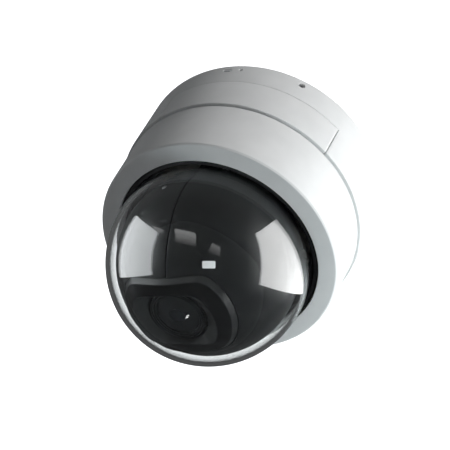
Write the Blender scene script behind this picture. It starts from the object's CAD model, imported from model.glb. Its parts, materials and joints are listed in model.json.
"""Looks of a small ceiling dome camera: fine meshes, materials, light and camera around the CAD frame."""
import json
import math

import bmesh
import bpy
from mathutils import Matrix, Vector


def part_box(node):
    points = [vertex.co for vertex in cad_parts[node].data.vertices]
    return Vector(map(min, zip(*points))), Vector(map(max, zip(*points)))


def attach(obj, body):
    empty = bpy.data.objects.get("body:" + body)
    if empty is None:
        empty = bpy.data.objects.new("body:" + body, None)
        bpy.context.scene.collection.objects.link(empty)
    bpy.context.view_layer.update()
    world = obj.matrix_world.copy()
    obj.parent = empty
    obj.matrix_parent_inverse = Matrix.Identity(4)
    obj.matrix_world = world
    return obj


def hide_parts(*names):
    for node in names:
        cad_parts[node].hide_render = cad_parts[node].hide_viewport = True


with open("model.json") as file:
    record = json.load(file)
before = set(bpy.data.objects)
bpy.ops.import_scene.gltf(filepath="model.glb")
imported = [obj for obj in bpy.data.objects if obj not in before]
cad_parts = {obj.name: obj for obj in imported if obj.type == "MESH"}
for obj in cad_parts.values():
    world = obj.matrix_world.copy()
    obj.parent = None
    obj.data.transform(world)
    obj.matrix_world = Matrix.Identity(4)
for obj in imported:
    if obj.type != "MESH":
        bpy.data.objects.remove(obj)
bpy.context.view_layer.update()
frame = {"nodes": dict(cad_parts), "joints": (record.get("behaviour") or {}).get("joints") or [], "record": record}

MM = 0.001
SAME_POINT = 1e-5


def node_mm(node):
    """Lowest and highest corner of a CAD node, in millimetres."""
    low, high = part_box(node)
    return low / MM, high / MM


# ---------- Sizes, from the frame where a CAD node gives them (millimetres) ----------

tilt_joint = next(j for j in frame["joints"] if j["name"] == "tilt")
CENTRE_Z = tilt_joint["pos_m"][2] / MM
TILT_AXIS = Vector(tilt_joint["axis"])
HEAD_TURN = math.atan2(TILT_AXIS.y, TILT_AXIS.x)

base_low = node_mm("base_shell")[0]
housing_low, housing_high = node_mm("lower_housing")
dome_low, dome_high = node_mm("dome_bubble")
gasket_low, gasket_high = node_mm("dome_gasket")
clamp_low, clamp_high = node_mm("dome_clamp")
plate_high = node_mm("mount_plate")[1]
seam_low, seam_high = node_mm("seam_gasket")

WALL = 2.2
BASE_TOP_R = 55
BASE_LOW_R = 51.9
BASE_LOW_Z = base_low.z
FACE_Z = housing_low.z
HOUSING_TOP_R = housing_high.x
HOUSING_TOP_Z = -29.7
HOUSING_LOW_R = 48.2
FACE_HOLE_R = 41.1
FLOOR_Z = FACE_Z + 2
COLLAR_TOP_Z = housing_high.z
COLLAR_R = 48.9
COLLAR_INNER_R = 47.6
BOSS_AT_R = 47.6
BOSS_AZIMUTHS = (-40, 80, 200)

# The conduit door: its ends in degrees, its top line, and the gaps around it.
DOOR_FROM = -153
DOOR_TO = -72
DOOR_TOP_Z = -12.8
DOOR_GAP = 0.42
DOOR_TOP_GAP = 0.16
PRONG_SPREAD = 26

# Rounded edges of the base, and the step beside the seam between the casing's halves.
TOP_EDGE = 0.4
LOW_EDGE = 0.15
EDGE_STEPS = 4
SEAM_RELIEF = 0.12
SHELL_SOFTENING = 0.07

# The row of small fittings near the ceiling rim.
RIM_Z = -3.8
SET_SCREW_AZ = -95
RESET_AZ = -122
LIGHT_AZ = -128

DOME_R = CENTRE_Z - dome_low.z
DOME_WALL = 1.7
DOME_FLANGE_R = dome_high.x
DOME_FLANGE_LOW = -52
DOME_FLANGE_TOP = dome_high.z
CLAMP_R = 44.2
CLAMP_AZIMUTHS = (-30, 90, 210)

BALL_R = 35.2
BALL_WALL = 1.8
SEAM = 0.2
SEAM_TURN = math.radians(5)
ARM_X = (25.7, 28.7)
ARM_HALF = 4
TILT_LIMIT = 70
ARM_SLOT_GAP = 0.6
SHELL_SCREW_AZ = 9.5
SHELL_SCREW_Z = -1.9
NOSE_R = 21
NOSE_FLAT = 16.2
NOSE_GAP = 0.25
NOSE_SOFTNESS = 14
LIP_WIDTH = 1.35
FRONT_R = 15.6
FRONT_FLAT = 10.4
FRONT_Z = -33.3
BARREL_R = 10.3
BARREL_BORE = 8.6
LENS_FRONT_Z = -30.9
PUPIL_R = 2.8

# Segments in a full turn.
FINE = 288
MEDIUM = 144
SMALL = 48

# Degrees between the columns of the base's wall.
WALL_STEP = 1.25

HEAD = Matrix.Translation((0, 0, CENTRE_Z)) @ Matrix.Rotation(HEAD_TURN, 4, "Z")
ALONG_X = Matrix.Rotation(math.pi / 2, 4, "Y")


def radial(azimuth, z=0):
    """Where something built along +Z lies when it points outwards at an azimuth and height."""
    return Matrix.Translation((0, 0, z)) @ round_z(azimuth) @ ALONG_X


def at_polar(r, azimuth):
    angle = math.radians(azimuth)
    return Matrix.Translation((r * math.cos(angle), r * math.sin(angle), 0))


def base_outer(z):
    return BASE_TOP_R + (BASE_LOW_R - BASE_TOP_R) * z / BASE_LOW_Z


def housing_outer(z):
    return HOUSING_TOP_R + (HOUSING_LOW_R - HOUSING_TOP_R) * (z - HOUSING_TOP_Z) / (FACE_Z - HOUSING_TOP_Z)


def round_z(azimuth):
    """A turn about Z by an azimuth in degrees."""
    return Matrix.Rotation(math.radians(azimuth), 4, "Z")


# ---------- Mesh building ----------

def fillet(corners, steps=5):
    """A closed outline whose corners (u, v, radius) are rounded by arcs."""
    points = []
    count = len(corners)
    for i, (u, v, radius) in enumerate(corners):
        here = Vector((u, v))
        back = Vector(corners[i - 1][:2]) - here
        ahead = Vector(corners[(i + 1) % count][:2]) - here
        if radius <= 0:
            points.append(here)
            continue
        half = back.angle(ahead) / 2
        reach = min(radius / math.tan(half), 0.49 * back.length, 0.49 * ahead.length)
        bulge = reach * math.tan(half)
        centre = here + (back.normalized() + ahead.normalized()).normalized() * (bulge / math.sin(half))
        start = here + back.normalized() * reach - centre
        turn = start.angle_signed(here + ahead.normalized() * reach - centre)
        for k in range(steps + 1):
            points.append(centre + Matrix.Rotation(-turn * k / steps, 2) @ start)
    return points


def arc(radius, start, end, steps, centre=(0, 0)):
    """Points on a circle between two angles in degrees."""
    turn = [math.radians(start + (end - start) * k / steps) for k in range(steps + 1)]
    return [Vector((centre[0] + radius * math.cos(a), centre[1] + radius * math.sin(a))) for a in turn]


def new_object(name, verts, faces, place=None):
    """A mesh object from points in millimetres: its faces turned outwards, placed, and scaled to metres."""
    mesh = bpy.data.meshes.new(name)
    mesh.from_pydata([tuple(v) for v in verts], [], faces)
    made = bmesh.new()
    made.from_mesh(mesh)
    bmesh.ops.remove_doubles(made, verts=made.verts, dist=SAME_POINT)
    bmesh.ops.recalc_face_normals(made, faces=made.faces)
    made.to_mesh(mesh)
    made.free()
    if place is not None:
        mesh.transform(place)
    mesh.transform(Matrix.Scale(MM, 4))
    obj = bpy.data.objects.new(name, mesh)
    bpy.context.scene.collection.objects.link(obj)
    return obj


def lathe(name, outline, segments=FINE, place=None):
    """A closed outline of (radius, z) turned about Z."""
    size = len(outline)
    verts = []
    for i in range(segments):
        angle = 2 * math.pi * i / segments
        verts += [(r * math.cos(angle), r * math.sin(angle), z) for r, z in outline]
    faces = ring_faces(segments, size)
    return new_object(name, verts, faces, place)


def cylinder(name, r, z0, z1, place):
    return lathe(name, [(0, z0), (r, z0), (r, z1), (0, z1)], SMALL, place)


def ring_faces(count, size):
    """Faces between successive closed rows of `size` points, the last row joined to the first."""
    faces = []
    for i in range(count):
        for j in range(size):
            a, b = i * size + j, i * size + (j + 1) % size
            c, d = ((i + 1) % count) * size + j, ((i + 1) % count) * size + (j + 1) % size
            faces.append((a, b, d, c))
    return faces


def prism(name, outline, z0, z1, place=None):
    """An outline of (x, y) points raised from z0 to z1."""
    size = len(outline)
    verts = [(x, y, z) for z in (z0, z1) for x, y in outline]
    faces = [tuple(range(size)), tuple(range(2 * size - 1, size - 1, -1))]
    faces += [(j, (j + 1) % size, size + (j + 1) % size, size + j) for j in range(size)]
    return new_object(name, verts, faces, place)


def block(name, low, high, place=None, round_by=0.0):
    """A box between two corners, its edges along Z rounded."""
    (x0, y0, z0), (x1, y1, z1) = low, high
    outline = fillet([(x0, y0, round_by), (x1, y0, round_by), (x1, y1, round_by), (x0, y1, round_by)], 4)
    return prism(name, outline, z0, z1, place)


def bake(obj):
    """Applies the object's modifiers to its mesh."""
    bpy.context.view_layer.update()
    depsgraph = bpy.context.evaluated_depsgraph_get()
    mesh = bpy.data.meshes.new_from_object(obj.evaluated_get(depsgraph))
    obj.modifiers.clear()
    obj.data = mesh
    return obj


def boolean(obj, others, operation):
    for other in others:
        modifier = obj.modifiers.new("boolean", "BOOLEAN")
        modifier.operation = operation
        modifier.solver = "EXACT"
        modifier.object = other
    bake(obj)
    for other in others:
        bpy.data.objects.remove(other)
    return obj


def carve(obj, *cutters):
    return boolean(obj, cutters, "DIFFERENCE")


def fuse(obj, *others):
    return boolean(obj, others, "UNION")


def soften(obj, width, steps=3, angle=40):
    """Rounds every edge sharper than an angle."""
    modifier = obj.modifiers.new("bevel", "BEVEL")
    modifier.width = width * MM
    modifier.segments = steps
    modifier.limit_method = "ANGLE"
    modifier.angle_limit = math.radians(angle)
    modifier.use_clamp_overlap = True
    return bake(obj)


def finished(obj, material, body, node, sharp=35):
    """Shades a new piece, gives it its material, and lets it stand for a CAD node."""
    mesh = obj.data
    mesh.shade_smooth()
    mesh.set_sharp_from_angle(angle=math.radians(sharp))
    mesh.materials.clear()
    mesh.materials.append(material)
    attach(obj, body)
    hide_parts(node)
    return obj


# ---------- Materials ----------

class Nodes:
    """A material's node tree, with short ways to add what these materials share."""

    def __init__(self, name, **values):
        self.material = bpy.data.materials.new(name)
        self.material.use_nodes = True
        self.tree = self.material.node_tree
        self.shader = self.tree.nodes["Principled BSDF"]
        self.output = self.tree.nodes["Material Output"]
        for socket, value in values.items():
            self.shader.inputs[socket.replace("_", " ")].default_value = value
        self.place = self.tree.nodes.new("ShaderNodeTexCoord").outputs["Object"]

    def link(self, source, target):
        self.tree.links.new(source, target)

    def noise(self, size_mm, detail=3.0, stretch=None):
        """Noise whose features are about size_mm wide."""
        node = self.tree.nodes.new("ShaderNodeTexNoise")
        node.inputs["Scale"].default_value = 1 / (size_mm * MM)
        node.inputs["Detail"].default_value = detail
        source = self.place
        if stretch:
            mapping = self.tree.nodes.new("ShaderNodeMapping")
            mapping.inputs["Scale"].default_value = stretch
            self.link(source, mapping.inputs["Vector"])
            source = mapping.outputs["Vector"]
        self.link(source, node.inputs["Vector"])
        return node.outputs["Fac"]

    def ramp(self, factor, *stops):
        """A colour ramp from (position, colour) stops."""
        node = self.tree.nodes.new("ShaderNodeValToRGB")
        while len(node.color_ramp.elements) < len(stops):
            node.color_ramp.elements.new(0.5)
        for element, (position, colour) in zip(node.color_ramp.elements, stops):
            element.position = position
            element.color = (*colour, 1)
        self.link(factor, node.inputs["Fac"])
        return node.outputs["Color"]

    def between(self, factor, low, high):
        """The factor, from 0 to 1, mapped to a range of numbers."""
        node = self.tree.nodes.new("ShaderNodeMapRange")
        node.inputs["To Min"].default_value = low
        node.inputs["To Max"].default_value = high
        self.link(factor, node.inputs["Value"])
        return node.outputs["Result"]

    def bump(self, height, depth_mm, strength=1.0):
        node = self.tree.nodes.new("ShaderNodeBump")
        node.inputs["Distance"].default_value = depth_mm * MM
        node.inputs["Strength"].default_value = strength
        self.link(height, node.inputs["Height"])
        self.link(node.outputs["Normal"], self.shader.inputs["Normal"])

    def tone(self, factor, *stops):
        self.link(self.ramp(factor, *stops), self.shader.inputs["Base Color"])

    def roughness(self, factor, low, high):
        self.link(self.between(factor, low, high), self.shader.inputs["Roughness"])


def plastic(name, dark, light, rough, grain_mm, grain_depth_mm, **values):
    """Moulded plastic: a fine spark-eroded grain, slow changes of tone and gloss."""
    nodes = Nodes(name, **values)
    nodes.tone(nodes.noise(9, 2.0), (0.3, dark), (0.7, light))
    nodes.roughness(nodes.noise(3.5), *rough)
    nodes.bump(nodes.noise(grain_mm, 2.0), grain_depth_mm)
    return nodes.material


def metal(name, dark, light, rough, brushed=(1, 1, 14)):
    """Machined or rolled metal: fine drawn lines in its gloss, faint stains in its colour."""
    nodes = Nodes(name, Metallic=1.0)
    nodes.tone(nodes.noise(5), (0.25, dark), (0.75, light))
    lines = nodes.noise(1.6, 4.0, brushed)
    nodes.roughness(lines, *rough)
    nodes.bump(lines, 0.004, 0.5)
    return nodes.material


def clear(name, tint, ior, shadow_tint, haze_mm):
    """Clear plastic or glass that lets lamps light what is behind it."""
    nodes = Nodes(name, Roughness=0.0, IOR=ior, Transmission_Weight=1.0)
    nodes.shader.inputs["Base Color"].default_value = (*tint, 1)
    nodes.bump(nodes.noise(haze_mm, 1.0), 0.002, 0.15)
    path = nodes.tree.nodes.new("ShaderNodeLightPath")
    see_through = nodes.tree.nodes.new("ShaderNodeBsdfTransparent")
    see_through.inputs["Color"].default_value = (*shadow_tint, 1)
    mix = nodes.tree.nodes.new("ShaderNodeMixShader")
    nodes.link(path.outputs["Is Shadow Ray"], mix.inputs[0])
    nodes.link(nodes.shader.outputs["BSDF"], mix.inputs[1])
    nodes.link(see_through.outputs["BSDF"], mix.inputs[2])
    nodes.link(mix.outputs["Shader"], nodes.output.inputs["Surface"])
    return nodes.material


def circuit_board():
    """Green solder mask over copper tracks and round pads."""
    nodes = Nodes("board_green", Specular_IOR_Level=0.6)
    tracks = nodes.tree.nodes.new("ShaderNodeTexBrick")
    tracks.inputs["Scale"].default_value = 420
    tracks.inputs["Mortar Size"].default_value = 0.06
    tracks.inputs["Color1"].default_value = (0.012, 0.11, 0.04, 1)
    tracks.inputs["Color2"].default_value = (0.01, 0.085, 0.032, 1)
    tracks.inputs["Mortar"].default_value = (0.03, 0.2, 0.07, 1)
    nodes.link(nodes.place, tracks.inputs["Vector"])
    pads = nodes.tree.nodes.new("ShaderNodeTexVoronoi")
    pads.inputs["Scale"].default_value = 300
    nodes.link(nodes.place, pads.inputs["Vector"])
    pad_mask = nodes.ramp(pads.outputs["Distance"], (0.16, (1, 1, 1)), (0.2, (0, 0, 0)))
    mix = nodes.tree.nodes.new("ShaderNodeMix")
    mix.data_type = "RGBA"
    nodes.link(pad_mask, mix.inputs["Factor"])
    nodes.link(tracks.outputs["Color"], mix.inputs["A"])
    mix.inputs["B"].default_value = (0.62, 0.55, 0.38, 1)
    nodes.link(mix.outputs["Result"], nodes.shader.inputs["Base Color"])
    nodes.roughness(nodes.noise(2), 0.3, 0.45)
    nodes.bump(tracks.outputs["Fac"], 0.03)
    return nodes.material


WHITE = plastic("shell_white", (0.81, 0.82, 0.82), (0.85, 0.86, 0.86), (0.48, 0.58), 0.35, 0.002,
                Specular_IOR_Level=0.06)
BALL = plastic("ball_black", (0.006, 0.0065, 0.007), (0.009, 0.0095, 0.01), (0.34, 0.42), 0.3, 0.0015,
               Specular_IOR_Level=0.35)
GLOSS = plastic("gloss_black", (0.003, 0.003, 0.0035), (0.005, 0.005, 0.0055), (0.3, 0.4), 0.3, 0.001,
                Specular_IOR_Level=0.15)
LIP = plastic("lip_black", (0.007, 0.0075, 0.008), (0.009, 0.0095, 0.01), (0.34, 0.42), 0.3, 0.001)
FUNNEL = plastic("funnel_grey", (0.022, 0.023, 0.024), (0.026, 0.027, 0.028), (0.45, 0.55), 0.3, 0.002,
                 Specular_IOR_Level=0.3)
BEZEL = plastic("lens_bezel", (0.016, 0.017, 0.018), (0.02, 0.021, 0.022), (0.4, 0.5), 0.3, 0.001,
                Specular_IOR_Level=0.2)
DARK = plastic("dark_plastic", (0.018, 0.019, 0.021), (0.028, 0.029, 0.031), (0.45, 0.6), 0.3, 0.01)
RUBBER = plastic("rubber_black", (0.008, 0.008, 0.009), (0.016, 0.016, 0.017), (0.7, 0.85), 0.4, 0.01)
NYLON = plastic("nylon_natural", (0.62, 0.60, 0.54), (0.7, 0.68, 0.61), (0.4, 0.5), 0.4, 0.008)
BADGE = plastic("badge_white", (0.9, 0.9, 0.9), (0.95, 0.95, 0.95), (0.25, 0.35), 0.3, 0.002)
LIGHT_PIPE = plastic("light_pipe", (0.8, 0.83, 0.85), (0.88, 0.9, 0.92), (0.1, 0.2), 0.8, 0.002,
                     Transmission_Weight=0.35)
STEEL = metal("steel", (0.5, 0.51, 0.52), (0.62, 0.63, 0.64), (0.22, 0.34))
PLATE = metal("plate_metal", (0.55, 0.56, 0.57), (0.66, 0.67, 0.68), (0.3, 0.45), (3, 1, 1))
ZINC = plastic("zinc_grey", (0.24, 0.245, 0.25), (0.32, 0.325, 0.33), (0.4, 0.55), 0.4, 0.01, Metallic=0.3)
BRASS = metal("brass", (0.6, 0.42, 0.16), (0.72, 0.53, 0.22), (0.22, 0.34))
BOARD = circuit_board()
DOME = clear("dome_clear", (0.97, 0.985, 0.985), 1.49, (0.9, 0.92, 0.92), 14)
LENS = plastic("lens_glass", (0.016, 0.017, 0.019), (0.019, 0.02, 0.022), (0.04, 0.07), 2, 0.0005,
               Specular_IOR_Level=0.4, Coat_Weight=0.3, Coat_Tint=(0.7, 0.8, 1, 1))
FILTER = clear("filter_glass", (0.75, 0.86, 0.9), 1.52, (0.7, 0.8, 0.84), 6)


# ---------- Casing ----------

def wall_sector(name, cells, azimuths, heights, outer, inner):
    """A conical wall made of grid cells, so that a window can be left out of it with clean edges."""
    rows = len(heights)
    full = abs(azimuths[-1] - azimuths[0] - 360) < 1e-6
    columns = len(azimuths) - 1 if full else len(azimuths)
    verts = []
    for azimuth in azimuths[:columns]:
        angle = math.radians(azimuth)
        for z in heights:
            for r in (outer(z), inner(z)):
                verts.append((r * math.cos(angle), r * math.sin(angle), z))

    def at(column, row, side):
        return ((column % columns) * rows + row) * 2 + side

    def solid(column, row):
        if full:
            column %= columns
        inside = 0 <= column < len(azimuths) - 1 and 0 <= row < rows - 1
        return inside and cells(column, row)

    faces = []
    for i in range(len(azimuths) - 1):
        for j in range(rows - 1):
            if not solid(i, j):
                continue
            for side in (0, 1):
                faces.append((at(i, j, side), at(i + 1, j, side), at(i + 1, j + 1, side), at(i, j + 1, side)))
            if not solid(i - 1, j):
                faces.append((at(i, j, 0), at(i, j + 1, 0), at(i, j + 1, 1), at(i, j, 1)))
            if not solid(i + 1, j):
                faces.append((at(i + 1, j, 0), at(i + 1, j + 1, 0), at(i + 1, j + 1, 1), at(i + 1, j, 1)))
            if not solid(i, j - 1):
                faces.append((at(i, j, 0), at(i + 1, j, 0), at(i + 1, j, 1), at(i, j, 1)))
            if not solid(i, j + 1):
                faces.append((at(i, j + 1, 0), at(i + 1, j + 1, 0), at(i + 1, j + 1, 1), at(i, j + 1, 1)))
    used = sorted({v for face in faces for v in face})
    index = {v: k for k, v in enumerate(used)}
    return new_object(name, [verts[v] for v in used], [tuple(index[v] for v in face) for face in faces])


def spread(start, end, step):
    count = max(1, math.ceil((end - start) / step - 1e-9))
    return [start + (end - start) * k / count for k in range(count + 1)]


def flared_hole(name, r, lip, azimuth, z):
    """A cutter for a round hole through the wall with a small countersink at the surface."""
    surface = base_outer(z)
    bottom, top = surface - 12, surface + 2
    outline = [(0, bottom), (r, bottom), (r, surface - lip), (r + 2 * lip, surface + lip), (r + 2 * lip, top),
               (0, top)]
    return lathe(name, outline, SMALL, radial(azimuth, z))


def stadium(half_width, half_height):
    """A slot's outline: two half rounds joined by straights, long along Y."""
    reach = half_width - half_height
    return arc(half_height, 0, 180, 12, (0, reach)) + arc(half_height, 180, 360, 12, (0, -reach))


def rounded_base(z):
    """The base's outer radius with its top and bottom edges rounded."""
    ends = ((-z, TOP_EDGE), (z - BASE_LOW_Z - SEAM_RELIEF, LOW_EDGE))
    drop = sum(r - math.sqrt(r * r - (r - d) ** 2) for d, r in ends if 0 <= d < r)
    return base_outer(z) - drop


def base_inner(z):
    return base_outer(z) - WALL


def edge_heights(middle):
    """Heights of the wall's rows: close together where an edge is rounded."""
    steps = [1 - math.cos(math.pi / 2 * k / EDGE_STEPS) for k in range(EDGE_STEPS + 1)]
    top = [-TOP_EDGE * t for t in steps]
    low = [BASE_LOW_Z + SEAM_RELIEF + LOW_EDGE * t for t in reversed(steps)]
    return top + middle + low


def base_shell():
    azimuths = spread(DOOR_TO, DOOR_FROM + 360, WALL_STEP)
    azimuths += spread(DOOR_FROM + 360, DOOR_TO + 360, WALL_STEP)[1:]
    heights = edge_heights([-2, -6, DOOR_TOP_Z, -21])
    door_row = heights.index(DOOR_TOP_Z)

    def cells(column, row):
        middle = (azimuths[column] + azimuths[column + 1]) / 2
        return row < door_row or middle < DOOR_FROM + 360

    shell = wall_sector("base_shell_fine", cells, azimuths, heights, rounded_base, base_inner)
    soften(shell, SHELL_SOFTENING, 2, 60)
    bore, r, low, high = 1.4, 3.2, -22, -9.8
    boss = fillet([(bore, low, 0), (r, low, 0.3), (r, high, 0.3), (bore, high, 0)])
    fuse(shell, *[lathe("boss", boss, SMALL, at_polar(BOSS_AT_R, az)) for az in BOSS_AZIMUTHS])
    inside, outside = 45, 60
    slot_place = radial(LIGHT_AZ, RIM_Z)
    rim_depth = 0.15
    carve(
        shell,
        flared_hole("hole", 1.35, 0.12, SET_SCREW_AZ, RIM_Z),
        flared_hole("hole", 0.8, 0.03, RESET_AZ, RIM_Z),
        prism("slot", stadium(1.9, 0.85), inside, outside, slot_place),
        prism("slot_rim", stadium(2.15, 1.1), base_outer(RIM_Z) - rim_depth, outside, slot_place),
    )
    return finished(shell, WHITE, "casing", "base_shell")


def conduit_door():
    gap = math.degrees(DOOR_GAP / BASE_LOW_R)
    azimuths = spread(DOOR_FROM + gap, DOOR_TO - gap, WALL_STEP)
    heights = [DOOR_TOP_Z - DOOR_TOP_GAP] + edge_heights([-21])[EDGE_STEPS + 1:]
    door = wall_sector("conduit_door_fine", lambda i, j: True, azimuths, heights, rounded_base, base_inner)
    soften(door, SHELL_SOFTENING, 2, 60)
    middle = (DOOR_FROM + DOOR_TO) / 2
    inner, outer, half, low, high = 46.6, 51.6, 3, -16.6, -15.2
    prongs = [soften(block("prong", (inner, -half, low), (outer, half, high), round_z(middle + side)), 0.25)
              for side in (-PRONG_SPREAD, 0, PRONG_SPREAD)]
    fuse(door, *prongs)
    return finished(door, WHITE, "conduit_door", "conduit_door")


def lower_housing():
    inner_floor = housing_outer(FLOOR_Z) - WALL
    outline = fillet([
        (COLLAR_INNER_R, COLLAR_TOP_Z, 0.3),
        (COLLAR_R, COLLAR_TOP_Z, 0.3),
        (COLLAR_R, HOUSING_TOP_Z - SEAM_RELIEF, 0.1),
        (HOUSING_TOP_R, HOUSING_TOP_Z - SEAM_RELIEF, 0.2),
        (HOUSING_LOW_R + 0.08, FACE_Z + 0.5, 0.3),
        (HOUSING_LOW_R - 0.5, FACE_Z, 0.4),
        (FACE_HOLE_R, FACE_Z, 0.35),
        (FACE_HOLE_R, FLOOR_Z, 0),
        (inner_floor, FLOOR_Z, 0.8),
        (housing_outer(-33) - WALL, -33, 1),
        (COLLAR_INNER_R, -31.5, 1),
    ])
    housing = lathe("lower_housing_fine", outline)
    bore, foot, top = 0.95, FLOOR_Z - 0.5, clamp_low.z - 0.2
    post = fillet([(bore, foot, 0), (1.9, foot, 0), (1.7, top, 0.2), (bore, top, 0)])
    fuse(housing, *[lathe("post", post, SMALL, at_polar(CLAMP_R, az)) for az in CLAMP_AZIMUTHS])
    return finished(housing, WHITE, "casing", "lower_housing")


def seam_gasket():
    inner = COLLAR_R + 0.08
    outline = fillet([(inner, seam_low.z, 0.1), (seam_high.x, seam_low.z, 0.25),
                      (seam_high.x, seam_high.z, 0.25), (inner, seam_high.z, 0.1)])
    finished(lathe("seam_gasket_fine", outline), RUBBER, "casing", "seam_gasket")


def set_screw():
    place = radial(SET_SCREW_AZ, RIM_Z)
    r, tip, head, socket_floor = 1.2, 49.7, 54.2, 52.6
    outline = fillet([(0, tip, 0), (r, tip, 0.2), (r, head, 0.25), (0, head, 0)])
    screw = lathe("set_screw_fine", outline, SMALL, place)
    socket = prism("socket", arc(0.75, 0, 300, 5), socket_floor, 56, place)
    finished(carve(screw, socket), ZINC, "casing", "set_screw")


def reset_button():
    foot_r, pin_r = 1.3, 0.55
    back, step, tip = 50.3, 51.6, 53.9
    outline = fillet([(0, back, 0), (foot_r, back, 0.1), (foot_r, step, 0.2), (pin_r, step, 0.1),
                      (pin_r, tip, 0.3), (0, tip, 0)])
    button = lathe("reset_button_fine", outline, SMALL, radial(RESET_AZ, RIM_Z))
    finished(button, DARK, "reset_button", "reset_button")


def status_light():
    back, front = 48.2, 54.7
    lens = prism("status_light_pipe_fine", stadium(1.6, 0.55), back, front, radial(LIGHT_AZ, RIM_Z))
    soften(lens, 0.18)
    leg = block("leg", (46.6, -1.3, -7.8), (48.6, 1.3, RIM_Z + 0.5), round_z(LIGHT_AZ), 0.3)
    fuse(lens, leg)
    finished(lens, LIGHT_PIPE, "casing", "status_light_pipe")


def mount_plate():
    hole_r, under = 9, -2
    outline = fillet([(hole_r, 0, 0.4), (plate_high.x, 0, 0.3), (plate_high.x, under, 0.5),
                      (hole_r, under, 0.3)])
    plate = lathe("mount_plate_fine", outline)
    tab_outer, tab_inner, tab_half = 51.4, 49.6, 7
    tabs = []
    for az in (SET_SCREW_AZ, SET_SCREW_AZ + 120, SET_SCREW_AZ + 240):
        start, end = az - tab_half, az + tab_half
        edge = arc(tab_outer, start, end, 10) + arc(tab_inner, end, start, 10)
        tabs.append(soften(prism("tab", edge, -6.6, -1.9), 0.25))
    fuse(plate, *tabs)
    eye_r, eye_at, slot_r, slot_at = 3.8, 30, 2.2, 37
    half = math.degrees(math.asin(slot_r / eye_r))
    keyhole = arc(eye_r, half, 360 - half, 30, (eye_at, 0)) + arc(slot_r, -90, 90, 14, (slot_at, 0))
    keyholes = [prism("keyhole", keyhole, -5, 5, round_z(az)) for az in (-35, 85, 205)]
    thread = cylinder("thread", 1.55, 48, 54, radial(SET_SCREW_AZ, RIM_Z))
    carve(plate, *keyholes, thread)
    finished(plate, PLATE, "casing", "mount_plate")


def cable_grommet():
    hole_r, neck_r, flange_r = 6.5, 8.6, 11
    low, top = -3.6, -0.15
    outline = fillet([(hole_r, low, 0.4), (flange_r, low, 0.5), (flange_r, -2.4, 0.4), (neck_r, -2.25, 0.1),
                      (neck_r, -0.5, 0.2), (7.6, top, 0.3), (hole_r, top, 0.3)])
    finished(lathe("cable_grommet_fine", outline, MEDIUM), RUBBER, "casing", "cable_grommet")


# ---------- Bubble ----------

def dome_bubble():
    rows = 64
    outside = [Vector((DOME_R * math.sin(a), CENTRE_Z - DOME_R * math.cos(a)))
               for a in [math.pi / 2 * k / rows for k in range(rows + 1)]]
    inner_r = DOME_R - DOME_WALL
    inside = [Vector((inner_r * math.sin(a), CENTRE_Z - inner_r * math.cos(a)))
              for a in [math.pi / 2 * (rows - k) / rows for k in range(rows + 1)]]
    flange = fillet([(DOME_R, CENTRE_Z, 0), (DOME_R, DOME_FLANGE_LOW, 0.5),
                     (DOME_FLANGE_R, DOME_FLANGE_LOW, 0.3), (DOME_FLANGE_R, DOME_FLANGE_TOP, 0.3),
                     (inner_r, DOME_FLANGE_TOP, 0.2), (inner_r, CENTRE_Z, 0)])[1:-1]
    bubble = lathe("dome_bubble_fine", outside + flange + inside)
    finished(bubble, DOME, "casing", "dome_bubble")


def dome_gasket():
    low, step, top = gasket_low.z, FLOOR_Z + 0.15, gasket_high.z
    inner, outer, flange = DOME_R + 0.2, FACE_HOLE_R - 0.2, gasket_high.x
    outline = fillet([(inner, low, 0.25), (outer, low, 0.3), (outer, step, 0), (flange, step, 0.1),
                      (flange, top, 0.1), (inner, top, 0.1)])
    finished(lathe("dome_gasket_fine", outline), RUBBER, "casing", "dome_gasket")


def dome_clamp():
    inner = min(v.co.xy.length for v in frame["nodes"]["dome_clamp"].data.vertices) / MM
    low, top, outer = clamp_low.z, clamp_high.z, clamp_high.x
    outline = fillet([(inner, low, 0.25), (outer, low, 0.2), (outer, top, 0.4), (inner, top, 0.25)])
    clamp = lathe("dome_clamp_fine", outline)
    holes = [cylinder("hole", 1.15, -55, -40, at_polar(CLAMP_R, az)) for az in CLAMP_AZIMUTHS]
    finished(carve(clamp, *holes), DARK, "casing", "dome_clamp")


# ---------- Ball and nose, in the head's own frame ----------

def nose_radius(angle, r, flat):
    """Reach of the nose's outline: a circle with two flats across the tilt axis, its corners softened."""
    to_flat = flat / max(abs(math.cos(angle)), 1e-3)
    return (r ** -NOSE_SOFTNESS + to_flat ** -NOSE_SOFTNESS) ** (-1 / NOSE_SOFTNESS)


def nose_outline(r, flat):
    turn = [2 * math.pi * k / MEDIUM for k in range(MEDIUM)]
    return [(nose_radius(a, r, flat) * math.cos(a), nose_radius(a, r, flat) * math.sin(a)) for a in turn]


def arm_slot(side):
    """The slot that lets the ball swing past a yoke arm."""
    half, near, reach = ARM_HALF + ARM_SLOT_GAP, 12, 40
    far = math.radians(90 - TILT_LIMIT)
    along = Vector((math.cos(far), math.sin(far)))
    across = Vector((math.sin(far), -math.cos(far)))
    outline = [Vector((-half, near)), Vector((near, near / 2)), along * near + across * half,
               along * reach + across * half, Vector((reach, reach)), Vector((-half, reach))]
    x0, x1 = sorted((side * (ARM_X[0] - 0.5), side * (ARM_X[1] + 0.5)))
    lying = Matrix(((0, 0, 1, 0), (1, 0, 0, 0), (0, 1, 0, 0), (0, 0, 0, 1)))
    return prism("arm_slot", outline, x0, x1, HEAD @ lying)


def shell_tongue(side, place):
    """The rear shell's tongue that reaches behind the front shell and takes the screw."""
    inner, tongue_r, root_r = 30.9, 32.6, 34
    shoulder = -SEAM - 0.15
    root = [(inner, -3), (root_r, -3), (root_r, shoulder), (tongue_r, shoulder)]
    tongue = [tuple(p) for p in arc(tongue_r, 0, 18, 8)] + [(inner, 10)]
    outline = [(side * x, y) for x, y in root + tongue]
    return prism("tongue", outline, -5, 1.6, place)


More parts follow.
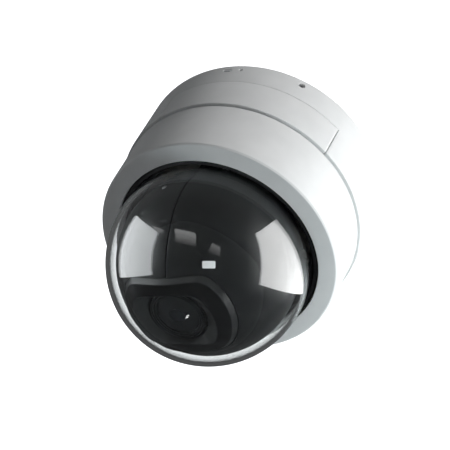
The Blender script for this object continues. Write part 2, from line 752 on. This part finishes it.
def ball_half(name, node, side):
    """Half of the ball, turned about local Y from the seam to its pole, with a softened seam edge."""
    rows = 48
    low = math.asin(SEAM / BALL_R)
    edge = 0.15
    start = math.asin((SEAM + edge) / BALL_R)
    outside = [Vector((BALL_R * math.cos(a), BALL_R * math.sin(a)))
               for a in [start + (math.pi / 2 - start) * k / rows for k in range(rows + 1)]]
    inner_r = BALL_R - BALL_WALL
    inside = [Vector((inner_r * math.cos(a), inner_r * math.sin(a)))
              for a in [math.pi / 2 + (low - math.pi / 2) * k / rows for k in range(rows + 1)]]
    lip = arc(edge, 180 + 90, 360, 4, (BALL_R * math.cos(low) - edge, SEAM + edge))[:-1]
    outline = outside + inside + lip
    to_y = Matrix.Rotation(math.pi / 2 * (-1 if side > 0 else 1), 4, "X")
    seam_frame = HEAD @ Matrix.Rotation(SEAM_TURN, 4, "Z")
    shell = lathe(name, outline, FINE, seam_frame @ to_y)
    if side < 0:
        fuse(shell, shell_tongue(-1, seam_frame), shell_tongue(1, seam_frame))
    aperture = nose_outline(NOSE_R + NOSE_GAP, NOSE_FLAT + NOSE_GAP)
    cutters = [prism("aperture", aperture, -40, -10, HEAD), arm_slot(-1), arm_slot(1)]
    hole_r = 1.25 if side > 0 else 0.9
    for az in (SHELL_SCREW_AZ, 180 - SHELL_SCREW_AZ):
        cutters.append(cylinder("hole", hole_r, 25, 40, HEAD @ radial(az, SHELL_SCREW_Z)))
    carve(shell, *cutters)
    return finished(shell, BALL, "camera_ball", node, 30)


def shell_screw(side):
    azimuth = SHELL_SCREW_AZ if side > 0 else 180 - SHELL_SCREW_AZ
    seat = BALL_R - 0.75
    shank_r, tip, head_r, top = 0.65, -3.2, 1, 0.8
    outline = fillet([(0, tip, 0), (shank_r, tip, 0.2), (shank_r, 0, 0), (head_r, 0, 0.05),
                      (head_r, top, 0.3), (0, top, 0)])
    place = HEAD @ radial(azimuth, SHELL_SCREW_Z) @ Matrix.Translation((0, 0, seat))
    name = "shell_screw_right" if side > 0 else "shell_screw_left"
    screw = lathe(name + "_fine", outline, SMALL, place)
    carve(screw, block("slot", (-0.7, -0.13, 0.35), (0.7, 0.13, 1), place),
          block("slot", (-0.13, -0.7, 0.35), (0.13, 0.7, 1), place))
    finished(screw, STEEL, "camera_ball", name)


def nose_hood():
    """The nose around the lens: a ring whose section changes with the angle."""
    inside = BALL_R - BALL_WALL - 0.35
    flange = 1.4
    barrel_gap = BARREL_R + 0.5
    back = -26

    def on_sphere(reach, r):
        return -math.sqrt(r * r - reach * reach)

    rows = []
    for k in range(FINE):
        angle = 2 * math.pi * k / FINE
        lip = nose_radius(angle, NOSE_R, NOSE_FLAT)
        crest = nose_radius(angle, NOSE_R - LIP_WIDTH, NOSE_FLAT - LIP_WIDTH)
        grip = nose_radius(angle, NOSE_R + 1.6, NOSE_FLAT + 1.6)
        front = nose_radius(angle, FRONT_R, FRONT_FLAT + 0.3)
        front_in = nose_radius(angle, FRONT_R - 0.6, FRONT_FLAT)
        funnel = nose_radius(angle, BARREL_R + 1, barrel_gap)
        section = fillet([
            (grip, on_sphere(grip, inside), 0.1),
            (lip, on_sphere(lip, inside), 0.05),
            (lip, on_sphere(lip, BALL_R - 0.1), 0.1),
            (crest, on_sphere(crest, BALL_R + 0.85), 0.4),
            (front, FRONT_Z, 0.3),
            (front_in, FRONT_Z + 0.1, 0.25),
            (funnel, FRONT_Z + 2.6, 0.3),
            (barrel_gap, FRONT_Z + 3.4, 0.1),
            (barrel_gap, back - 0.2, 0.1),
            (13, back, 0.1),
            (grip, on_sphere(grip, inside - flange), 0.1),
        ], 4)
        rows += [(r * math.cos(angle), r * math.sin(angle), z) for r, z in section]
    hood = new_object("nose_hood_fine", rows, ring_faces(FINE, len(rows) // FINE), HEAD)
    finished(hood, GLOSS, "camera_ball", "nose_hood")
    hood.data.materials.append(FUNNEL)
    hood.data.materials.append(LIP)
    funnel_slot, lip_slot = 1, 2
    to_head = HEAD.inverted()
    for face in hood.data.polygons:
        centre = to_head @ (face.center / MM)
        reach = centre.xy.length
        angle = math.atan2(centre.y, centre.x)
        crest = nose_radius(angle, NOSE_R - LIP_WIDTH, NOSE_FLAT - LIP_WIDTH)
        if centre.z < back and reach < nose_radius(angle, FRONT_R - 0.15, FRONT_FLAT + 0.15):
            face.material_index = funnel_slot
        elif reach > crest - 0.1 and centre.length > BALL_R - 0.5:
            face.material_index = lip_slot


def lens_trim_ring():
    """The ring around the glass, with two grooves in its front."""
    inner, outer, back, front, groove = 7.9, 10.2, -30.35, -30.9, -30.55
    outline = fillet([(inner, back, 0.05), (outer, back, 0.05), (outer, front, 0.1), (9.8, front, 0.1),
                      (9.7, groove, 0.03), (9.4, groove, 0.03), (9.3, front, 0.1), (8.9, front, 0.1),
                      (8.8, groove, 0.03), (8.55, groove, 0.03), (8.45, -30.8, 0.08), (inner, -30.75, 0.05)])
    ring = lathe("lens_trim_ring_fine", outline, MEDIUM, HEAD)
    finished(ring, BEZEL, "camera_ball", "lens_trim_ring")


def front_lens():
    """A small convex glass, a groove around it, and the bezel that holds it."""
    steps = 12
    bulge = 0.03
    reaches = [PUPIL_R * k / steps for k in range(steps + 1)]
    glass = [(r, LENS_FRONT_Z + bulge * r ** 2) for r in reaches]
    groove_z, edge_r = -30.35, 8.35
    bezel = fillet([(PUPIL_R + 0.02, groove_z, 0), (PUPIL_R + 0.22, groove_z, 0),
                    (PUPIL_R + 0.28, -30.72, 0.06), (7.6, -30.5, 0.1), (edge_r, -29.9, 0.1),
                    (edge_r, -27.9, 0.1), (6, -27.4, 0), (3, -27.1, 0), (0, -27, 0)])
    lens = lathe("front_lens_fine", glass + bezel, MEDIUM, HEAD)
    finished(lens, LENS, "camera_ball", "front_lens")
    lens.data.materials.append(BEZEL)
    bezel_slot, glass_back = 1, -30
    to_head = HEAD.inverted()
    for face in lens.data.polygons:
        centre = to_head @ (face.center / MM)
        if centre.xy.length > PUPIL_R or centre.z > glass_back:
            face.material_index = bezel_slot


def lens_barrel():
    """The tube behind the lens, with its flange, four posts and two side slots."""
    flange_r, flange_low, flange_high = 15, -15.4, -13.7
    front, back = -30.2, -5.9
    outline = fillet([(BARREL_BORE, front, 0.1), (BARREL_R, front, 0.25), (BARREL_R, flange_low, 0.1),
                      (flange_r, flange_low, 0.3), (flange_r, flange_high, 0.3), (BARREL_R, flange_high, 0.1),
                      (BARREL_R, back, 0.25), (BARREL_BORE, back, 0.1)])
    barrel = lathe("lens_barrel_fine", outline, MEDIUM, HEAD)
    post_r, post_at = 1.2, 13.4
    posts = [cylinder("post", post_r, -13.8, -2.3, HEAD @ at_polar(post_at, az))
             for az in (45, 135, 225, 315)]
    fuse(barrel, *posts)
    half, near, far, low, high = 2.8, 6, 20, -26.4, -18.2
    carve(barrel, block("slot", (-half, near, low), (half, far, high), HEAD, 0.5),
          block("slot", (-half, -far, low), (half, -near, high), HEAD, 0.5))
    finished(barrel, DARK, "camera_ball", "lens_barrel")


def zoom_carriage():
    """The lens cell that slides in the barrel, with a lug on each side."""
    bore, front, back = 2.8, -25.9, -22
    outline = fillet([(bore, -25.2, 0.1), (3.4, -25.7, 0.1), (4, front, 0.1), (5.6, -25.6, 0.2),
                      (5.8, front, 0.1), (7.4, front, 0.2), (8.2, -25.4, 0.2), (8.2, back, 0.2),
                      (bore, back, 0.1)])
    cell = lathe("zoom_carriage_fine", outline, MEDIUM, HEAD)
    half, near, far, low, high = 2.2, 7.4, 14.2, -24.9, -23.1
    fuse(cell, block("lug", (-half, near, low), (half, far, high), HEAD, 0.4),
         block("lug", (-half, -far, low), (half, -near, high), HEAD, 0.4))
    guide_y = 12.2
    guide = cylinder("guide", 1, -30, -15, HEAD @ Matrix.Translation((0, guide_y, 0)))
    finished(carve(cell, guide), DARK, "zoom_carriage", "zoom_carriage")


def blank_badge():
    outward = Vector((0, -23.7, -25.9)).normalized()
    along = Vector((0.86, -0.37, 0.35))
    along = (along - outward * along.dot(outward)).normalized()
    across = outward.cross(along)
    place = Matrix((along, across, outward)).transposed().to_4x4()
    place.translation = outward * (BALL_R + 0.25) + Vector((0, 0, CENTRE_Z))
    half_long, half_high, corner = 2.15, 1.2, 0.3
    outline = fillet([(-half_long, -half_high, corner), (half_long, -half_high, corner),
                      (half_long, half_high, corner), (-half_long, half_high, corner)])
    badge = soften(prism("blank_badge_fine", outline, -0.2, 0.15, place), 0.08)
    finished(badge, BADGE, "camera_ball", "blank_badge")


# ---------- CAD nodes that stay, with their own materials ----------

KEPT_MATERIALS = {
    "steel": STEEL,
    "plate_metal": PLATE,
    "rubber_black": RUBBER,
    "board_green": BOARD,
    "nylon_natural": NYLON,
    "dark_plastic": DARK,
    "gloss_black": GLOSS,
    "badge_white": BADGE,
    "light_pipe": LIGHT_PIPE,
    "brass": BRASS,
    "lens_glass": LENS,
    "filter_glass": FILTER,
    "dome_clear": DOME,
    "shell_white": WHITE,
}


def dress_kept_nodes():
    """Gives every CAD node the material of its slot in the record; it shows on those with no finer piece."""
    for row in frame["record"]["subparts"]:
        kept = frame["nodes"][row["node"]]
        kept.data.materials.clear()
        kept.data.materials.append(KEPT_MATERIALS[row["material_slot"]])


# ---------- Stage, light and camera ----------

# The camera's place, aim and lens, written in millimetres and degrees.
CAMERA_AT = Vector((-2.2, -184.6, -254.2)) * MM
CAMERA_UP_BY = math.radians(49.73)
CAMERA_ROLL = math.radians(31.2)
SENSOR_WIDTH = 36
FOCAL_LENGTH = 56

# The floor's height and half its width, in metres.
FLOOR_LEVEL = -1.4
FLOOR_HALF = 6

# The studio's brightness: seen straight, by bounced light from below and above, and in reflections.
STRAIGHT = 1.6
AMBIENT_LOW = 0.07
AMBIENT_HIGH = 0.085
GLOW = 0.06
GLOW_LEAN = (0, 0, 0.06)

# Metres from the bubble's centre.
LAMP_DISTANCE = 0.9
CARD_DISTANCE = 0.8
TARGET = Vector((0, 0, CENTRE_Z * MM))


def camera_turn():
    """The camera's axes as a matrix: it looks along +Y, raised and rolled."""
    return (Matrix.Rotation(CAMERA_UP_BY, 4, "X") @ Matrix.Rotation(math.pi / 2, 4, "X")
            @ Matrix.Rotation(CAMERA_ROLL, 4, "Z"))


def make_camera():
    data = bpy.data.cameras.new("camera")
    data.sensor_width = SENSOR_WIDTH
    data.lens = FOCAL_LENGTH
    data.clip_start = 0.01
    obj = bpy.data.objects.new("camera", data)
    bpy.context.scene.collection.objects.link(obj)
    obj.matrix_world = Matrix.Translation(CAMERA_AT) @ camera_turn()
    bpy.context.scene.camera = obj


def from_camera(right, up, forward):
    """A place given in metres from the bubble's centre along the camera's own axes."""
    turn = camera_turn().to_3x3()
    return TARGET + turn @ Vector((right, up, -forward))


def around(azimuth, elevation, distance):
    """A place at a distance in metres from the bubble's centre."""
    a, e = math.radians(azimuth), math.radians(elevation)
    return TARGET + distance * Vector((math.cos(a) * math.cos(e), math.sin(a) * math.cos(e), math.sin(e)))


def facing(at, target):
    """A matrix at a place whose -Z points to the target."""
    back = (at - target).normalized()
    up = camera_turn().to_3x3() @ Vector((0, 1, 0))
    side = up.cross(back).normalized()
    turn = Matrix((side, back.cross(side), back)).transposed().to_4x4()
    return Matrix.Translation(at) @ turn


def lamp(name, at, size, watts, colour=(1, 1, 1), target=TARGET):
    """A square lamp that lights surfaces but shows in no reflection; size is its side in metres."""
    data = bpy.data.lights.new(name, "AREA")
    data.shape = "RECTANGLE"
    data.size = size
    data.size_y = size
    data.energy = watts
    data.color = colour
    obj = bpy.data.objects.new(name, data)
    bpy.context.scene.collection.objects.link(obj)
    obj.matrix_world = facing(at, target)
    obj.visible_camera = False
    obj.visible_transmission = False
    obj.visible_glossy = False


def card(name, corners, strength, colour=(1, 1, 1), fade=0.0):
    """A glowing card for reflections; fade dims it from its first edge towards its third."""
    mesh = bpy.data.meshes.new(name)
    mesh.from_pydata([tuple(c) for c in corners], [], [(0, 1, 2, 3)])
    layer = mesh.uv_layers.new(name="place")
    for loop, uv in zip(layer.data, ((0, 0), (1, 0), (1, 1), (0, 1))):
        loop.uv = uv
    obj = bpy.data.objects.new(name, mesh)
    bpy.context.scene.collection.objects.link(obj)
    material = bpy.data.materials.new(name)
    material.use_nodes = True
    tree = material.node_tree
    tree.nodes.clear()
    glow = tree.nodes.new("ShaderNodeEmission")
    glow.inputs["Color"].default_value = (*colour, 1)
    place = tree.nodes.new("ShaderNodeUVMap")
    split = tree.nodes.new("ShaderNodeSeparateXYZ")
    level = tree.nodes.new("ShaderNodeMapRange")
    level.inputs["To Min"].default_value = strength
    level.inputs["To Max"].default_value = strength * (1 - fade)
    tree.links.new(place.outputs["UV"], split.inputs["Vector"])
    tree.links.new(split.outputs["Y"], level.inputs["Value"])
    tree.links.new(level.outputs["Result"], glow.inputs["Strength"])
    output = tree.nodes.new("ShaderNodeOutputMaterial")
    tree.links.new(glow.outputs["Emission"], output.inputs["Surface"])
    mesh.materials.append(material)
    obj.visible_camera = False
    obj.visible_diffuse = False
    obj.visible_shadow = False


def side_card(name, side, up, forward, strength, colour=(1, 1, 1)):
    """A softbox beside the camera's line of sight: up and forward are its edges, as if it stood 1 m away."""
    (u0, u1), (f0, f1) = up, forward
    corners = [from_camera(side * CARD_DISTANCE, u * CARD_DISTANCE, f * CARD_DISTANCE)
               for u, f in ((u0, f0), (u0, f1), (u1, f1), (u1, f0))]
    card(name, corners, strength, colour)


def small_card(name, corners, strength, fade=0.0):
    """A small light that the bubble or the lens reflects: its corners are (azimuth, elevation)."""
    places = [around(azimuth, elevation, CARD_DISTANCE) for azimuth, elevation in corners]
    card(name, places, strength, fade=fade)


def make_floor():
    material = Nodes("floor_pale", Roughness=0.9, Specular_IOR_Level=0.1)
    material.tone(material.noise(60, 2.0), (0.3, (0.78, 0.79, 0.8)), (0.7, (0.82, 0.83, 0.84)))
    material.bump(material.noise(4), 0.05, 0.2)
    half = FLOOR_HALF
    mesh = bpy.data.meshes.new("floor")
    corners = [(-half, -half, FLOOR_LEVEL), (half, -half, FLOOR_LEVEL), (half, half, FLOOR_LEVEL),
               (-half, half, FLOOR_LEVEL)]
    mesh.from_pydata(corners, [], [(0, 1, 2, 3)])
    mesh.materials.append(material.material)
    floor = bpy.data.objects.new("floor", mesh)
    bpy.context.scene.collection.objects.link(floor)
    floor.visible_glossy = False


def make_world():
    """White behind the object and straight through its clear parts, dim for bounced light and reflections."""
    world = bpy.data.worlds.new("studio")
    bpy.context.scene.world = world
    world.use_nodes = True
    tree = world.node_tree
    tree.nodes.clear()

    def math_node(operation, first, second):
        node = tree.nodes.new("ShaderNodeMath")
        node.operation = operation
        for socket, value in zip(node.inputs, (first, second)):
            if isinstance(value, (int, float)):
                socket.default_value = value
            else:
                tree.links.new(value, socket)
        return node.outputs["Value"]

    def choose(factor, off, on):
        """One of two numbers, which may be sockets, by a factor that is 0 or 1."""
        node = tree.nodes.new("ShaderNodeMapRange")
        for name, value in (("To Min", off), ("To Max", on)):
            if isinstance(value, (int, float)):
                node.inputs[name].default_value = value
            else:
                tree.links.new(value, node.inputs[name])
        tree.links.new(factor, node.inputs["Value"])
        return node.outputs["Result"]

    path = tree.nodes.new("ShaderNodeLightPath").outputs
    direction = tree.nodes.new("ShaderNodeTexCoord").outputs["Generated"]
    height = tree.nodes.new("ShaderNodeSeparateXYZ")
    tree.links.new(direction, height.inputs["Vector"])
    upward = math_node("MULTIPLY", math_node("ADD", height.outputs["Z"], 1), 0.5)
    ambient = choose(upward, AMBIENT_LOW, AMBIENT_HIGH)
    lean = tree.nodes.new("ShaderNodeVectorMath")
    lean.operation = "DOT_PRODUCT"
    lean.inputs[1].default_value = GLOW_LEAN
    tree.links.new(direction, lean.inputs[0])
    glow = math_node("MAXIMUM", math_node("ADD", lean.outputs["Value"], GLOW), 0.0)
    diffuse = math_node("GREATER_THAN", path["Diffuse Depth"], 0.5)
    bounces = math_node("ADD", path["Diffuse Depth"], path["Glossy Depth"])
    straight = math_node("LESS_THAN", bounces, 0.5)
    level = choose(straight, choose(diffuse, glow, ambient), STRAIGHT)
    background = tree.nodes.new("ShaderNodeBackground")
    background.inputs["Color"].default_value = (0.97, 0.985, 1, 1)
    output = tree.nodes.new("ShaderNodeOutputWorld")
    tree.links.new(level, background.inputs["Strength"])
    tree.links.new(background.outputs["Background"], output.inputs["Surface"])


def make_lights():
    lamp("key", around(-56, 10, LAMP_DISTANCE), 0.4, 6.1)
    right_of_face = Vector((0.045, 0.0, -0.055))
    lamp("ring_light", Vector((0.17, -0.05, -0.155)), 0.08, 0.23, (0.9, 0.98, 1), right_of_face)
    side_card("right_card", 1, (-0.40, 0.64), (-0.62, 1.4), 5.6)
    side_card("left_card", -1, (-0.19, 0.62), (-0.54, 0.38), 4.1, (0.95, 0.98, 1))
    small_card("strip_far", ((-169, -9), (-156, -18), (-158, -21), (-167, -15)), 1.6, 0.5)
    small_card("strip_middle", ((-144, -19), (-120, -23), (-116, -36), (-142, -33)), 2.2, 0.85)
    small_card("strip_near", ((-99, -27), (-88, -27), (-82, -36), (-99, -37)), 1.4, 0.8)
    small_card("glint", ((71, -68), (62, -72), (63, -69), (68, -67)), 14)


bpy.context.scene.view_settings.view_transform = "Standard"
make_camera()
make_floor()
make_world()
make_lights()
base_shell()
conduit_door()
lower_housing()
seam_gasket()
set_screw()
reset_button()
status_light()
mount_plate()
cable_grommet()
dome_bubble()
dome_gasket()
dome_clamp()
ball_half("ball_shell_front_fine", "ball_shell_front", 1)
ball_half("ball_shell_rear_fine", "ball_shell_rear", -1)
shell_screw(-1)
shell_screw(1)
nose_hood()
lens_trim_ring()
front_lens()
lens_barrel()
zoom_carriage()
blank_badge()
dress_kept_nodes()
